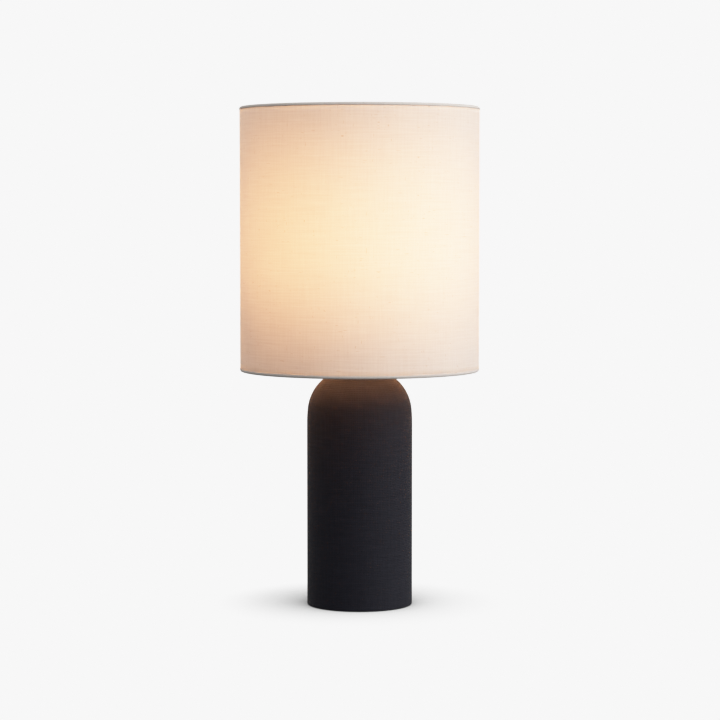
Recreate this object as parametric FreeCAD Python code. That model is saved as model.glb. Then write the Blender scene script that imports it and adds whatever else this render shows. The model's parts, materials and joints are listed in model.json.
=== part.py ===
"""Table lamp with a drum shade: one STEP file per sub-part, in millimetres.

The frame: +Z is up, the origin is the centre of the felt pad's underside, and the cord outlet
faces +Y. The stack, from the table up: closed stoneware base, threaded tube through its top,
metal cap and neck, switched E27 lampholder, and on the lampholder the shade and the bulb.
"""

import FreeCAD, Part
import math
import os

V = FreeCAD.Vector
X_AXIS, Y_AXIS, Z_AXIS = V(1, 0, 0), V(0, 1, 0), V(0, 0, 1)
ORIGIN = V(0, 0, 0)

# ---- driving dimensions ------------------------------------------------------------------

# stoneware base
BASE_R = 55.1
BASE_WALL = 6.0
BASE_FOOT_Z = 0.5
BASE_FOOT_ROUND = 1.2
SHOULDER_Z = 190.5
SHOULDER_SOFT_R = 175.0
SHOULDER_SOFT_TURN = math.radians(5.0)
SHOULDER_MAIN_R = 46.0
SEAT_Z = 243.5
SEAT_WALL = 7.0

# underside
FELT_THICK = 2.0
FELT_R = 48.2
COVER_THICK = 3.0
COVER_R = 48.8
SHELF_DEPTH = 3.5
SHELF_HEIGHT = 4.0
SHELF_RAMP_HEIGHT = 5.0

# cord outlet
OUTLET_Z = 22.0
OUTLET_HOLE_R = 6.0
OUTLET_BORE_R = 3.4
OUTLET_FLANGE_R = 8.2
OUTLET_FLANGE_OUT = 2.0
OUTLET_FLANGE_IN = 2.5
OUTLET_EDGE_ROUND = 0.8

# threaded tube and what it clamps, M10 x 1
TUBE_R = 4.95
TUBE_BORE_R = 3.5
TUBE_HOLE_R = 5.3
TUBE_PITCH = 1.0
TUBE_THREAD_DEPTH = 0.5
TUBE_LOW_Z = 224.0
NUT_ACROSS_FLATS = 14.0
NUT_THICK = 5.0
NUT_BEVEL = 0.9
NUT_BEVEL_HEIGHT = 0.54
WASHER_R = 17.0
WASHER_THICK = 1.5
WASHER_EDGE_ROUND = 0.5
TOOTH_WASHER_R = 9.0
TOOTH_WASHER_HOLE_R = 5.25
TOOTH_WASHER_THICK = 1.2
TOOTH_COUNT = 12
TOOTH_ROOT_R = 7.2
TOOTH_GAP = 1.0
FIBRE_R = 20.0
FIBRE_THICK = 1.0
CAP_R = 22.0
CAP_HEIGHT = 6.5
CAP_SHEET = 1.2
CAP_LIP = 1.8
CAP_LIP_ROUND = 2.2
CAP_TOP_R = 9.6
CAP_TOP_ROUND = 6.0
NECK_R = 8.0
NECK_HEIGHT = 21.0
NECK_EDGE_ROUND = 0.6

# lampholder, E27
HOLDER_R = 19.6
HOLDER_BOSS_R = 9.0
HOLDER_BOSS_HEIGHT = 6.0
HOLDER_DOME_HEIGHT = 18.0
HOLDER_WALL = 1.8
HOLDER_BOSS_ROUND = 2.0
HOLDER_DOME_RISE = 4.5
HOLDER_DOME_ROUND = 5.0
HOLDER_FLOOR_ROUND = 3.0
HOLDER_EDGE_ROUND = 0.8
HOLDER_SEAM_ROUND = 0.4
SPIGOT_HEIGHT = 7.0
SPIGOT_R = HOLDER_R - HOLDER_WALL
SET_SCREW_RISE = 3.5
SET_SCREW_R = 1.45
SET_SCREW_HOLE_R = 1.5
SET_SCREW_LENGTH = 3.6
SET_SCREW_SLOT = 0.6
INSERT_THICK = 6.0
INSERT_EDGE_ROUND = 0.5
RIVET_AT_R = 11.8
RIVET_R = 1.2
RIVET_HEAD_R = 1.9
RIVET_FOOT = 0.7
TONGUE_RISE = 3.0
TONGUE_WIDTH = 6.0
TONGUE_SHEET = 0.5
TERMINAL_AT_Y = 10.4
TERMINAL_WIDTH = 6.0
TERMINAL_DEPTH = 4.8
TERMINAL_HEIGHT = 6.5
TERMINAL_SCREW_DROP = 4.0
TERMINAL_SCREW_AT_Y = 11.6
TERMINAL_SCREW_SHANK = 1.2
TERMINAL_HEAD_R = 2.3
TERMINAL_HEAD_HEIGHT = 1.5
TERMINAL_SLOT = 0.6
WIRE_HOLE_R = 1.4
SKIRT_HEIGHT = 38.0
SKIRT_FLANGE_R = 24.0
SKIRT_FLANGE_THICK = 3.5
SKIRT_INNER_R = 15.8
SKIRT_ROOT_R = 19.3
SKIRT_THREAD_R = 20.2
SKIRT_THREAD_PITCH = 2.5
SKIRT_THREAD_COUNT = 8
SKIRT_THREAD_FLANK = 0.6
SKIRT_THREAD_CREST = 0.5
SKIRT_NECK_HEIGHT = 5.0
SKIRT_NECK_DEPTH = 1.0
SKIRT_LIP_R = 14.8
SKIRT_LIP_HEIGHT = 2.0
SKIRT_LIP_ROUND = 1.2

# Edison screw, E27: rounded thread, right hand
SCREW_PITCH = 3.629
BULB_SCREW_R = 12.1
BULB_BEAD_R = 1.1
HOLDER_BEAD_R = 1.05
HOLDER_BEAD_CENTRE_R = 13.55
HOLDER_SCREW_R = 13.5
HOLDER_SHELL_HOLE_R = 9.6
SCREW_SHEET = 0.6
HOLDER_TURNS = 4.0
BULB_TURNS = 3.6

# push-bar switch
BAR_R = 3.0
BAR_LENGTH = 54.0
BAR_TRAVEL = 6.0
BAR_CLEARANCE = 0.3
BAR_END_ROUND = 1.6
BRIDGE_WIDTH = 15.0
BRIDGE_HEIGHT = 7.2
BRIDGE_THICK = 0.9
BRIDGE_NOTCH = 2.9
BRIDGE_NOTCH_RISE = 1.2
BRIDGE_HUB_WALL = 1.0
BRIDGE_HUB_LENGTH = 3.0
LEAF_X = 8.0
LEAF_THICK = 0.5
LEAF_NEAR_Y = 4.8
LEAF_FAR_Y = 7.4
LEAF_DROP = 2.5
LEAF_FOOT = 4.0

# bulb, A60 with an E27 cap
BULB_R = 30.0
BULB_LENGTH = 109.0
BULB_NECK_R = 13.4
BULB_FLARE_R = 45.0
BULB_SPLIT = 52.0
BULB_WALL = 1.4
BULB_TIP_GAP = 0.1
BULB_TIP_R = 4.6
BULB_TIP_THICK = 1.8
BULB_TIP_ROUND = 0.9
BULB_SHELL_RISE = 5.6
BULB_SHELL_HEIGHT = 18.9
BULB_SHELL_HOLE_R = 9.0
BULB_SHELL_ROUND = 0.8
BULB_THREAD_RISE = 2.2
BULB_COLLAR = 1.0
BULB_CRIMP = 0.2
BULB_PLUG = 2.5
INSULATOR_LOW_R = 5.2
INSULATOR_R = 10.4
INSULATOR_BOSS_R = 8.9
INSULATOR_BOSS_HEIGHT = 1.6
LED_BOARD_THICK = 1.4
LED_BOARD_HOLE_R = 2.0
LED_COUNT = 10
LED_AT_R = 10.0
LED_SIZE = 2.8
LED_THICK = 0.7
DRIVER_BOARD_WIDTH = 16.0
DRIVER_BOARD_THICK = 1.6

# shade
SHADE_R = 125.0
SHADE_LOW_Z = 245.5
SHADE_HEIGHT = 275.0
LINER_THICK = 0.4
FABRIC_THICK = 0.4
TRIM_THICK = 0.3
TRIM_LEG = 3.4
TRIM_INNER_LEG = 5.0
ARCH_R = 2.25
RING_WIRE_R = 1.5
SPOKE_COUNT = 3
SPOKE_WIRE_R = 1.7
SPOKE_BEND_R = 8.0
SPOKE_LEVEL_RUN = 14.0
SPOKE_WELD = 0.5
GIMBAL_R = 28.0
GIMBAL_HOLE_R = 20.7
GIMBAL_THICK = 1.5
GIMBAL_EDGE_ROUND = 0.4
CLAMP_RING_R = 27.5
CLAMP_RING_HEIGHT = 6.0
CLAMP_RING_GAP = 0.3
CLAMP_RING_WALL = 3.0
CLAMP_RING_SLOPE = 3.2
CLAMP_RING_ROUND = 0.8
CLAMP_RING_GRIPS = 24
CLAMP_RING_GRIP_R = 0.8

# fits: clearance of moving parts, of pressed parts, and how far a cutter runs past its work
SLACK = 0.1
SNUG = 0.05
PAST = 1.0

# ---- heights worked out from them ----------------------------------------------------------

FIBRE_Z = SEAT_Z
CAP_Z = FIBRE_Z + FIBRE_THICK
NECK_Z = CAP_Z + CAP_HEIGHT
HOLDER_Z = NECK_Z + NECK_HEIGHT
TUBE_HIGH_Z = HOLDER_Z + 9.0
HOLDER_FLOOR_Z = HOLDER_Z + 9.5
DOME_TOP_Z = HOLDER_Z + HOLDER_DOME_HEIGHT
INSERT_Z = DOME_TOP_Z + SPIGOT_HEIGHT
INSERT_TOP_Z = INSERT_Z + INSERT_THICK
BAR_Z = HOLDER_Z + 14.2
SKIRT_Z = DOME_TOP_Z + 0.2
SKIRT_TOP_Z = SKIRT_Z + SKIRT_HEIGHT
SCREW_SHELL_TOP_Z = SKIRT_TOP_Z - 4.0
FLANGE_TOP_Z = INSERT_Z + SKIRT_FLANGE_THICK
GIMBAL_Z = FLANGE_TOP_Z + SLACK
CLAMP_RING_Z = GIMBAL_Z + GIMBAL_THICK + SLACK
BULB_Z = INSERT_TOP_Z + TONGUE_RISE + BULB_TIP_GAP
SHADE_TOP_Z = SHADE_LOW_Z + SHADE_HEIGHT
FABRIC_R = SHADE_R - TRIM_THICK
LINER_R = FABRIC_R - FABRIC_THICK
ARCH_CENTRE_R = SHADE_R - ARCH_R
WIRE_RING_R = LINER_R - LINER_THICK - SNUG - RING_WIRE_R


# ---- helpers ---------------------------------------------------------------------------------


def rounded_wire(corners, place):
    """Closed wire through corners (a, b) or (a, b, radius), each corner rounded by its radius."""
    points = [V(c[0], c[1], 0) for c in corners]
    radii = [c[2] if len(c) > 2 else 0.0 for c in corners]
    entries, exits, middles = [], [], []
    for i, point in enumerate(points):
        back = (points[i - 1] - point).normalize()
        ahead = (points[(i + 1) % len(points)] - point).normalize()
        half_angle = back.getAngle(ahead) / 2
        reach = radii[i] / math.tan(half_angle) if radii[i] else 0.0
        entries.append(point + back * reach)
        exits.append(point + ahead * reach)
        if radii[i]:
            bisector = (back + ahead).normalize()
            middles.append(point + bisector * (radii[i] / math.sin(half_angle) - radii[i]))
        else:
            middles.append(None)
    edges = []
    for i in range(len(points)):
        if middles[i] is not None:
            edges.append(Part.Arc(place(entries[i]), place(middles[i]), place(exits[i])).toShape())
        following = entries[(i + 1) % len(points)]
        if (following - exits[i]).Length > 1e-6:
            edges.append(Part.LineSegment(place(exits[i]), place(following)).toShape())
    return Part.Wire(edges)


def in_section(point):
    """(r, z) to the XZ half-plane."""
    return V(point.x, 0, point.y)


def turned(corners):
    """Solid of revolution about Z from its section's corners (r, z[, radius])."""
    face = Part.Face(rounded_wire(corners, in_section))
    return face.revolve(ORIGIN, Z_AXIS, 360)


def turned_edges(edges):
    """Solid of revolution about Z from the section's own edges."""
    return Part.Face(Part.Wire(edges)).revolve(ORIGIN, Z_AXIS, 360)


def ring(inner_r, outer_r, low, high):
    outer = Part.makeCylinder(outer_r, high - low, V(0, 0, low))
    if inner_r <= 0:
        return outer
    return outer.cut(Part.makeCylinder(inner_r, high - low, V(0, 0, low)))


def box(low, high):
    return Part.makeBox(high[0] - low[0], high[1] - low[1], high[2] - low[2], V(*low))


def around_z(shape, count, first=0.0):
    """count copies of shape, evenly spaced around Z."""
    copies = []
    for i in range(count):
        copy = shape.copy()
        copy.rotate(ORIGIN, Z_AXIS, first + 360.0 * i / count)
        copies.append(copy)
    return copies


def together(shapes):
    return Part.makeCompound(shapes)


def section_line(a, b):
    return Part.LineSegment(V(a[0], 0, a[1]), V(b[0], 0, b[1])).toShape()


def section_arc(centre, radius, start, end):
    """Arc in the section plane, from angle start to end, in radians from the +r direction."""
    points = []
    for angle in (start, (start + end) / 2, end):
        points.append(V(centre[0] + radius * math.cos(angle), 0, centre[1] + radius * math.sin(angle)))
    return Part.Arc(*points).toShape()


def helical_bead(centre_r, bead_r, low, turns):
    """Round bead of a right-hand thread that passes through +X at height low."""
    helix = Part.makeHelix(SCREW_PITCH, SCREW_PITCH * turns, centre_r)
    section = Part.Wire([Part.makeCircle(bead_r, V(centre_r, 0, 0), Y_AXIS)])
    bead = Part.Wire(helix.Edges).makePipeShell([section], True, True)
    bead.translate(V(0, 0, low))
    return bead


# ---- stoneware base ------------------------------------------------------------------------------


def shoulder_points(inset):
    """The shoulder's centres and joints, with the wall's surface moved in by inset."""
    turn = SHOULDER_SOFT_TURN
    soft_centre = (BASE_R - SHOULDER_SOFT_R, SHOULDER_Z)
    main_centre = (
        soft_centre[0] + (SHOULDER_SOFT_R - SHOULDER_MAIN_R) * math.cos(turn),
        soft_centre[1] + (SHOULDER_SOFT_R - SHOULDER_MAIN_R) * math.sin(turn),
    )
    return soft_centre, SHOULDER_SOFT_R - inset, main_centre, SHOULDER_MAIN_R - inset


def shoulder_edges(inset, top_z):
    """The two arcs from the straight wall up to top_z, and the radius reached there."""
    soft_centre, soft_r, main_centre, main_r = shoulder_points(inset)
    last = math.asin((top_z - main_centre[1]) / main_r)
    edges = [
        section_arc(soft_centre, soft_r, 0.0, SHOULDER_SOFT_TURN),
        section_arc(main_centre, main_r, SHOULDER_SOFT_TURN, last),
    ]
    return edges, main_centre[0] + main_r * math.cos(last)


def stoneware_base():
    inner_r = BASE_R - BASE_WALL
    shelf_z = FELT_THICK + COVER_THICK
    ceiling_z = SEAT_Z - SEAT_WALL
    outer, seat_r = shoulder_edges(0.0, SEAT_Z)
    inner, ceiling_r = shoulder_edges(BASE_WALL, ceiling_z)
    foot_centre = (BASE_R - BASE_FOOT_ROUND, BASE_FOOT_Z + BASE_FOOT_ROUND)
    shelf_r = inner_r - SHELF_DEPTH
    inside = [
        (inner_r, SHOULDER_Z),
        (inner_r, shelf_z + SHELF_HEIGHT + SHELF_RAMP_HEIGHT),
        (shelf_r, shelf_z + SHELF_HEIGHT),
        (shelf_r, shelf_z),
        (inner_r, shelf_z),
        (inner_r, BASE_FOOT_Z),
        (foot_centre[0], BASE_FOOT_Z),
    ]
    edges = [section_arc(foot_centre, BASE_FOOT_ROUND, -math.pi / 2, 0.0)]
    edges.append(section_line((BASE_R, foot_centre[1]), (BASE_R, SHOULDER_Z)))
    edges += outer
    edges.append(section_line((seat_r, SEAT_Z), (TUBE_HOLE_R, SEAT_Z)))
    edges.append(section_line((TUBE_HOLE_R, SEAT_Z), (TUBE_HOLE_R, ceiling_z)))
    edges.append(section_line((TUBE_HOLE_R, ceiling_z), (ceiling_r, ceiling_z)))
    edges += inner
    edges += [section_line(a, b) for a, b in zip(inside, inside[1:])]
    body = turned_edges(Part.__sortEdges__(edges))
    outlet = Part.makeCylinder(OUTLET_HOLE_R, BASE_WALL * 3, V(0, inner_r - BASE_WALL, OUTLET_Z), Y_AXIS)
    return body.cut(outlet)


def bottom_cover():
    return ring(0, COVER_R, FELT_THICK, FELT_THICK + COVER_THICK)


def felt_pad():
    return ring(0, FELT_R, 0, FELT_THICK)


def cord_outlet_grommet():
    """Rubber bush snapped into the wall, its flanges shaped to the wall's curve."""
    inner_r = BASE_R - BASE_WALL
    back_y = inner_r - OUTLET_FLANGE_IN
    front_y = BASE_R + OUTLET_FLANGE_OUT
    tall = OUTLET_FLANGE_R * 3
    low_z = OUTLET_Z - tall / 2
    flange = Part.makeCylinder(OUTLET_FLANGE_R, front_y - back_y, V(0, back_y, OUTLET_Z), Y_AXIS)
    wall = Part.makeCylinder(BASE_R, tall, V(0, 0, low_z))
    wall = wall.cut(Part.makeCylinder(inner_r, tall, V(0, 0, low_z)))
    sleeve = Part.makeCylinder(OUTLET_HOLE_R, front_y - back_y, V(0, back_y, OUTLET_Z), Y_AXIS)
    bush = flange.cut(wall).fuse(sleeve).removeSplitter()
    rim = [e for e in bush.Edges if abs(e.BoundBox.YMin - front_y) < 1e-3]
    bush = bush.makeFillet(OUTLET_EDGE_ROUND, rim)
    bore = Part.makeCylinder(OUTLET_BORE_R, front_y, V(0, back_y - PAST, OUTLET_Z), Y_AXIS)
    return bush.cut(bore)


# ---- tube and clamping parts --------------------------------------------------------------------


def threaded_tube():
    """Hollow M10 x 1 tube, its thread cut as rings of the right pitch and depth."""
    corners = [(TUBE_BORE_R, TUBE_LOW_Z)]
    root_r = TUBE_R - TUBE_THREAD_DEPTH
    turns = int((TUBE_HIGH_Z - TUBE_LOW_Z) / TUBE_PITCH)
    for i in range(turns):
        low = TUBE_LOW_Z + i * TUBE_PITCH
        corners.append((root_r, low))
        corners.append((TUBE_R, low + TUBE_PITCH / 2))
    top = TUBE_LOW_Z + turns * TUBE_PITCH
    corners += [(root_r, top), (TUBE_BORE_R, top)]
    return turned(corners)


def ceiling_washer():
    top = SEAT_Z - SEAT_WALL
    return turned(
        [
            (TUBE_HOLE_R, top - WASHER_THICK),
            (WASHER_R, top - WASHER_THICK, WASHER_EDGE_ROUND),
            (WASHER_R, top),
            (TUBE_HOLE_R, top),
        ]
    )


def tooth_washer():
    top = SEAT_Z - SEAT_WALL - WASHER_THICK
    low = top - TOOTH_WASHER_THICK
    washer = ring(TOOTH_WASHER_HOLE_R, TOOTH_WASHER_R, low, top)
    half_gap = TOOTH_GAP / 2
    notch = box((TOOTH_ROOT_R, -half_gap, low - PAST), (TOOTH_WASHER_R + PAST, half_gap, top + PAST))
    for cutter in around_z(notch, TOOTH_COUNT):
        washer = washer.cut(cutter)
    return washer


def tube_nut():
    top = SEAT_Z - SEAT_WALL - WASHER_THICK - TOOTH_WASHER_THICK
    low = top - NUT_THICK
    corner_r = NUT_ACROSS_FLATS / 2 / math.cos(math.pi / 6)
    corners = [
        V(corner_r * math.cos(math.radians(60 * i)), corner_r * math.sin(math.radians(60 * i)), low)
        for i in range(7)
    ]
    prism = Part.Face(Part.makePolygon(corners)).extrude(V(0, 0, NUT_THICK))
    bevelled = turned(
        [
            (0, low),
            (corner_r - NUT_BEVEL, low),
            (corner_r + SLACK, low + NUT_BEVEL_HEIGHT),
            (corner_r + SLACK, top - NUT_BEVEL_HEIGHT),
            (corner_r - NUT_BEVEL, top),
            (0, top),
        ]
    )
    return prism.common(bevelled).cut(ring(0, TUBE_R + SNUG, low - PAST, top + PAST))


def fibre_washer():
    return ring(TUBE_HOLE_R, FIBRE_R, FIBRE_Z, FIBRE_Z + FIBRE_THICK)


def base_cap():
    """Spun metal cap that covers the hole in the base."""
    top = CAP_Z + CAP_HEIGHT
    return turned(
        [
            (TUBE_HOLE_R, top - CAP_SHEET),
            (CAP_TOP_R - CAP_SHEET / 2, top - CAP_SHEET, CAP_TOP_ROUND - CAP_SHEET),
            (CAP_R - CAP_SHEET, CAP_Z + CAP_LIP - CAP_SHEET / 2, CAP_LIP_ROUND - CAP_SHEET),
            (CAP_R - CAP_SHEET, CAP_Z),
            (CAP_R, CAP_Z),
            (CAP_R, CAP_Z + CAP_LIP, CAP_LIP_ROUND),
            (CAP_TOP_R, top, CAP_TOP_ROUND),
            (TUBE_HOLE_R, top),
        ]
    )


def neck():
    top = NECK_Z + NECK_HEIGHT
    return turned(
        [
            (TUBE_HOLE_R, NECK_Z),
            (NECK_R, NECK_Z, NECK_EDGE_ROUND),
            (NECK_R, top, NECK_EDGE_ROUND),
            (TUBE_HOLE_R, top),
        ]
    )


# ---- lampholder ---------------------------------------------------------------------------------


def holder_cap():
    """Lower shell: threaded boss, dome, and the spigot that the skirt goes over."""
    inner_r = SPIGOT_R - HOLDER_WALL
    boss_top = HOLDER_Z + HOLDER_BOSS_HEIGHT
    shell = turned(
        [
            (TUBE_R + SNUG, HOLDER_Z),
            (HOLDER_BOSS_R, HOLDER_Z, HOLDER_EDGE_ROUND),
            (HOLDER_BOSS_R, boss_top, HOLDER_BOSS_ROUND),
            (HOLDER_R, boss_top + HOLDER_DOME_RISE, HOLDER_DOME_ROUND),
            (HOLDER_R, DOME_TOP_Z, HOLDER_SEAM_ROUND),
            (SPIGOT_R, DOME_TOP_Z),
            (SPIGOT_R, INSERT_Z),
            (inner_r, INSERT_Z),
            (inner_r, HOLDER_FLOOR_Z, HOLDER_FLOOR_ROUND),
            (TUBE_R + SNUG, HOLDER_FLOOR_Z),
        ]
    )
    reach = HOLDER_R + PAST
    bar_hole = Part.makeCylinder(BAR_R + BAR_CLEARANCE, reach * 2, V(-reach, 0, BAR_Z), X_AXIS)
    screw_z = HOLDER_Z + SET_SCREW_RISE
    screw_hole = Part.makeCylinder(SET_SCREW_HOLE_R, HOLDER_BOSS_R, V(0, TUBE_BORE_R, screw_z), Y_AXIS)
    return shell.cut(bar_hole).cut(screw_hole)


def entry_set_screw():
    """M3 grub screw that locks the lampholder on the tube."""
    start, end = TUBE_R + SNUG, TUBE_R + SNUG + SET_SCREW_LENGTH
    screw_z = HOLDER_Z + SET_SCREW_RISE
    half_slot = SET_SCREW_SLOT / 2
    screw = Part.makeCylinder(SET_SCREW_R, SET_SCREW_LENGTH, V(0, start, screw_z), Y_AXIS)
    slot_low = (-SET_SCREW_R - PAST, end - SET_SCREW_SLOT, screw_z - half_slot)
    slot_high = (SET_SCREW_R + PAST, end + PAST, screw_z + half_slot)
    return screw.cut(box(slot_low, slot_high))


def contact_insert():
    """Porcelain disc that carries every live part."""
    disc = turned(
        [
            (0, INSERT_Z),
            (SPIGOT_R, INSERT_Z, INSERT_EDGE_ROUND),
            (SPIGOT_R, INSERT_TOP_Z, INSERT_EDGE_ROUND),
            (0, INSERT_TOP_Z),
        ]
    )
    for rivet in rivet_shanks():
        disc = disc.cut(rivet)
    return disc


def rivet_shanks():
    low, high = INSERT_Z - RIVET_FOOT, INSERT_TOP_Z + SCREW_SHEET + RIVET_FOOT
    return around_z(Part.makeCylinder(RIVET_R, high - low, V(0, RIVET_AT_R, low)), 2)


def shell_rivets():
    """Two rivets that hold the screw shell down on the insert and the terminals up against it."""
    made = []
    for shank in rivet_shanks():
        centre = shank.CenterOfMass
        head_place = V(centre.x, centre.y, INSERT_TOP_Z + SCREW_SHEET)
        foot_place = V(centre.x, centre.y, INSERT_Z - RIVET_FOOT)
        head = Part.makeCylinder(RIVET_HEAD_R, RIVET_FOOT, head_place)
        foot = Part.makeCylinder(RIVET_HEAD_R, RIVET_FOOT, foot_place)
        made.append(shank.fuse([head, foot]).removeSplitter())
    return together(made)


def screw_shell():
    """Brass socket with the rolled E27 thread inside."""
    low = INSERT_TOP_Z
    top = SCREW_SHELL_TOP_Z
    outer_r = HOLDER_SCREW_R + SCREW_SHEET
    shell = turned(
        [
            (HOLDER_SHELL_HOLE_R, low),
            (outer_r, low, HOLDER_SEAM_ROUND),
            (outer_r, top),
            (HOLDER_SCREW_R, top),
            (HOLDER_SCREW_R, low + SCREW_SHEET),
            (HOLDER_SHELL_HOLE_R, low + SCREW_SHEET),
        ]
    )
    bead = helical_bead(HOLDER_BEAD_CENTRE_R, HOLDER_BEAD_R, holder_thread_z(), HOLDER_TURNS)
    outside = ring(outer_r, outer_r + 2 * HOLDER_BEAD_R, low, top + SCREW_PITCH)
    threaded = shell.fuse(bead).cut(outside)
    return threaded.cut(shell_rivets())


def centre_contact():
    """Sprung tongue that meets the bulb's tip."""
    rise = INSERT_TOP_Z + TONGUE_RISE
    upper = [(-7.5, INSERT_TOP_Z + TONGUE_SHEET), (-4.0, INSERT_TOP_Z + TONGUE_SHEET)]
    upper += [(-0.5, rise - 0.4), (1.5, rise), (4.0, rise - 0.6)]
    lower = [(-7.5, INSERT_TOP_Z), (-3.0, INSERT_TOP_Z)]
    lower += [(1.5, rise - TONGUE_SHEET), (4.0, rise - TONGUE_SHEET - 0.6)]
    side = [V(x, -TONGUE_WIDTH / 2, z) for x, z in lower + upper[::-1]]
    return Part.Face(Part.makePolygon(side + side[:1])).extrude(V(0, TONGUE_WIDTH, 0))


def terminal_block(side):
    """Brass clamp under the insert, with the wire's hole and the screw's hole."""
    middle_y = side * TERMINAL_AT_Y
    half_width, half_depth = TERMINAL_WIDTH / 2, TERMINAL_DEPTH / 2
    low_z, high_z = INSERT_Z - TERMINAL_HEIGHT, INSERT_Z - RIVET_FOOT
    screw_z = INSERT_Z - TERMINAL_SCREW_DROP
    block = box((-half_width, middle_y - half_depth, low_z), (half_width, middle_y + half_depth, high_z))
    wire_hole = Part.makeCylinder(WIRE_HOLE_R, 2 * TERMINAL_HEIGHT, V(0, middle_y, low_z - PAST))
    screw_hole = Part.makeCylinder(SET_SCREW_HOLE_R, TERMINAL_DEPTH, V(0, middle_y, screw_z), Y_AXIS * side)
    return block.cut(wire_hole).cut(screw_hole)


def terminals():
    """The two wire clamps, each held up by its rivet's foot."""
    return together([terminal_block(side) for side in (-1, 1)])


def terminal_screws():
    """Two cheese-head screws that clamp the wires."""
    screw_z = INSERT_Z - TERMINAL_SCREW_DROP
    head_y = TERMINAL_SCREW_AT_Y + TERMINAL_SCREW_SHANK
    end_y = head_y + TERMINAL_HEAD_HEIGHT
    half_slot = TERMINAL_SLOT / 2
    shank = Part.makeCylinder(SET_SCREW_R, TERMINAL_SCREW_SHANK, V(0, TERMINAL_SCREW_AT_Y, screw_z), Y_AXIS)
    head = Part.makeCylinder(TERMINAL_HEAD_R, TERMINAL_HEAD_HEIGHT, V(0, head_y, screw_z), Y_AXIS)
    slot_low = (-TERMINAL_HEAD_R - PAST, end_y - TERMINAL_SLOT, screw_z - half_slot)
    slot_high = (TERMINAL_HEAD_R + PAST, end_y + PAST, screw_z + half_slot)
    screw = shank.fuse(head).removeSplitter().cut(box(slot_low, slot_high))
    return together(around_z(screw, 2))


def holder_skirt():
    """Upper shell: flange that the shade rests on, and the clamp ring's thread."""
    flange_z = FLANGE_TOP_Z - SKIRT_FLANGE_THICK
    corners = [
        (SPIGOT_R + SNUG, SKIRT_Z),
        (HOLDER_R, SKIRT_Z, HOLDER_SEAM_ROUND),
        (HOLDER_R, flange_z, HOLDER_EDGE_ROUND),
        (SKIRT_FLANGE_R, flange_z, HOLDER_EDGE_ROUND),
        (SKIRT_FLANGE_R, FLANGE_TOP_Z, HOLDER_SEAM_ROUND),
        (SKIRT_ROOT_R, FLANGE_TOP_Z),
    ]
    for i in range(SKIRT_THREAD_COUNT):
        low = CLAMP_RING_Z + SKIRT_THREAD_CREST + i * SKIRT_THREAD_PITCH
        crest = low + SKIRT_THREAD_FLANK
        corners += [
            (SKIRT_ROOT_R, low),
            (SKIRT_THREAD_R, crest),
            (SKIRT_THREAD_R, crest + SKIRT_THREAD_CREST),
            (SKIRT_ROOT_R, crest + SKIRT_THREAD_CREST + SKIRT_THREAD_FLANK),
        ]
    neck_r = SKIRT_ROOT_R - SKIRT_NECK_DEPTH
    lip_z = SKIRT_TOP_Z - SKIRT_LIP_HEIGHT
    corners += [
        (SKIRT_ROOT_R, SKIRT_TOP_Z - SKIRT_NECK_HEIGHT - SKIRT_NECK_DEPTH),
        (neck_r, SKIRT_TOP_Z - SKIRT_NECK_HEIGHT),
        (neck_r, SKIRT_TOP_Z, SKIRT_LIP_ROUND),
        (SKIRT_LIP_R, SKIRT_TOP_Z, HOLDER_EDGE_ROUND),
        (SKIRT_LIP_R, lip_z),
        (SKIRT_INNER_R, lip_z - SKIRT_INNER_R + SKIRT_LIP_R),
        (SKIRT_INNER_R, INSERT_TOP_Z + SNUG),
        (SPIGOT_R + SNUG, INSERT_TOP_Z + SNUG),
    ]
    return turned(corners)


# ---- push-bar switch ---------------------------------------------------------------------------


def switch_bar():
    """Round bar through the dome, standing out at +X in the on position."""
    middle_x = BAR_TRAVEL / 2
    bar = Part.makeCylinder(BAR_R, BAR_LENGTH, V(middle_x - BAR_LENGTH / 2, 0, BAR_Z), X_AXIS)
    ends = [e for e in bar.Edges if abs(abs(e.CenterOfMass.x - middle_x) - BAR_LENGTH / 2) < 1e-3]
    return bar.makeFillet(BAR_END_ROUND, ends)


def switch_bridge():
    """Copper plate on the bar that joins the two leaves in the on position."""
    half_width, half_height = BRIDGE_WIDTH / 2, BRIDGE_HEIGHT / 2
    face_x = LEAF_X - SLACK
    back_x = face_x - BRIDGE_THICK
    plate = box((back_x, -half_width, BAR_Z - half_height), (face_x, half_width, BAR_Z + half_height))
    for side in (-1, 1):
        ys = sorted((side * (half_width - BRIDGE_NOTCH), side * half_width))
        notch_low = (back_x, ys[0], BAR_Z + BRIDGE_NOTCH_RISE)
        plate = plate.cut(box(notch_low, (face_x, ys[1], BAR_Z + half_height)))
    hub_place = V(back_x - BRIDGE_HUB_LENGTH, 0, BAR_Z)
    hub = Part.makeCylinder(BAR_R + BRIDGE_HUB_WALL, BRIDGE_HUB_LENGTH, hub_place, X_AXIS)
    bar = Part.makeCylinder(BAR_R, BRIDGE_WIDTH, V(0, 0, BAR_Z), X_AXIS)
    return plate.fuse(hub).removeSplitter().cut(bar)


def switch_leaves():
    """Two fixed copper leaves that hang from the insert."""
    leaves = []
    for side in (-1, 1):
        ys = sorted((side * LEAF_NEAR_Y, side * LEAF_FAR_Y))
        blade = box((LEAF_X, ys[0], BAR_Z - LEAF_DROP), (LEAF_X + LEAF_THICK, ys[1], INSERT_Z))
        foot = box((LEAF_X, ys[0], INSERT_Z - LEAF_THICK), (LEAF_X + LEAF_FOOT, ys[1], INSERT_Z))
        leaves.append(blade.fuse(foot).removeSplitter())
    return together(leaves)


# ---- bulb ------------------------------------------------------------------------------------------


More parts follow.
